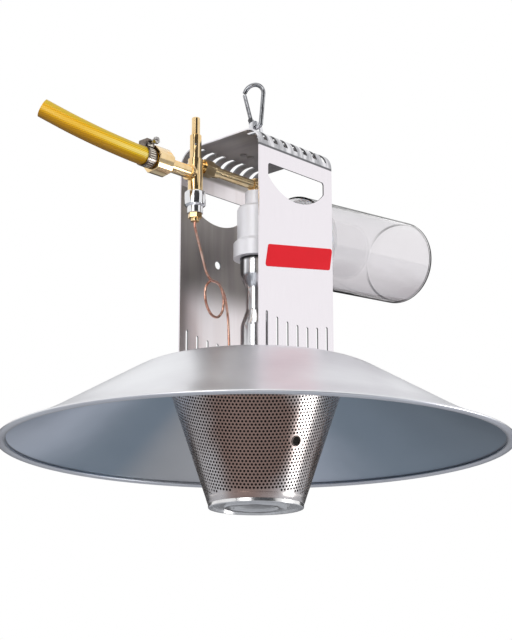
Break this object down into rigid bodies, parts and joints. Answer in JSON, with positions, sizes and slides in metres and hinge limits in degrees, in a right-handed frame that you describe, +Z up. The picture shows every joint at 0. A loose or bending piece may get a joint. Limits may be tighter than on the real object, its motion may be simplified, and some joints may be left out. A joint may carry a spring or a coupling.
{
  "type": "gas brooder heater",
  "caption": "Hanging gas brooder: perforated cone burner under a wide spun dish, folded carrying bracket, push-button flame-safety valve, clear dust-filter bowl and snap hook.",
  "frame": {"origin": "hanging point on the inside of the snap hook's upper bow, above the lug's eye", "axes": "+Z up, +X along the gas line from the hose towards the filter bowl, the bracket's panels face -Y and +Y"},
  "size_m": [0.5023, 0.5, 0.4396],
  "materials": {
    "hook_chrome": "bright plated wire",
    "bracket_steel": "brushed stainless sheet",
    "fastener_steel": "zinc plated",
    "badge_red": "plain red gloss film",
    "dish_aluminium": "spun aluminium, satin",
    "burner_steel": "heat-tinted stainless sheet",
    "tube_chrome": "polished drawn tube",
    "cast_alloy": "fine matte casting",
    "fitting_brass": "turned brass",
    "sensor_copper": "drawn copper capillary",
    "clear_cup": "clear moulded plastic",
    "cap_plastic": "translucent pale moulding",
    "seal_rubber": "black rubber",
    "filter_felt": "white felt",
    "hose_rubber": "golden yellow braided hose",
    "clamp_steel": "stainless band"
  },
  "bodies": {
    "snap_hook": {"snap_hook_body": "hook_chrome", "gate_rivet": "hook_chrome"},
    "hook_gate": {"snap_hook_gate": "hook_chrome"},
    "lamp": {"hanging_lug": "bracket_steel", "lug_rivets": "fastener_steel", "bracket": "bracket_steel", "badge_plate": "badge_red", "frame_screws": "fastener_steel", "frame_nuts": "fastener_steel", "reflector_dish": "dish_aluminium", "burner_plate": "burner_steel", "emitter_cone": "burner_steel", "burner_core": "burner_steel", "burner_cap": "burner_steel", "mixing_tube": "tube_chrome", "tube_locknut": "fastener_steel", "mixer_body": "cast_alloy", "injector_elbow": "fitting_brass", "injector_jet": "fitting_brass", "filter_end_cap": "cap_plastic", "filter_seal": "seal_rubber", "filter_element": "filter_felt", "supply_tube": "fitting_brass", "outlet_nut": "fitting_brass", "valve_body": "fitting_brass", "valve_bonnet": "fitting_brass", "bonnet_pin": "fastener_steel", "button_spring": "fastener_steel", "magnet_housing": "tube_chrome", "sensor_nut": "fitting_brass", "sensor_lead": "sensor_copper", "lead_bush": "fitting_brass", "sensor_probe": "fastener_steel", "union_nut": "fitting_brass", "hose_tail": "fitting_brass", "gas_hose": "hose_rubber", "hose_clamp_band": "clamp_steel", "hose_clamp_screw": "clamp_steel"},
    "start_button": {"push_button": "fitting_brass"},
    "dust_bowl": {"filter_bowl": "clear_cup"}
  },
  "joints": [
    {"name": "hang_swing", "type": "hinge", "parent": "snap_hook", "child": "lamp", "pos_m": [0, 0, -0.04485], "axis": [0.342, -0.9397, 0], "range_deg": [-25, 25]},
    {"name": "gate_swing", "type": "hinge", "parent": "snap_hook", "child": "hook_gate", "pos_m": [-0.00188, 0.00517, -0.03645], "axis": [0.9397, 0.342, 0], "range_deg": [0, 25], "stiffness_Nm_per_rad": 0.02, "springref_deg": -11.46},
    {"name": "button_press", "type": "slide", "parent": "lamp", "child": "start_button", "axis": [0, 0, -1], "range_m": [0, 0.005], "stiffness_N_per_m": 800, "springref_m": -0.004, "deforming": ["button_spring"]},
    {"name": "bowl_pull", "type": "slide", "parent": "lamp", "child": "dust_bowl", "axis": [0.9971, 0, 0.0767], "range_m": [0, 0.075]}
  ]
}
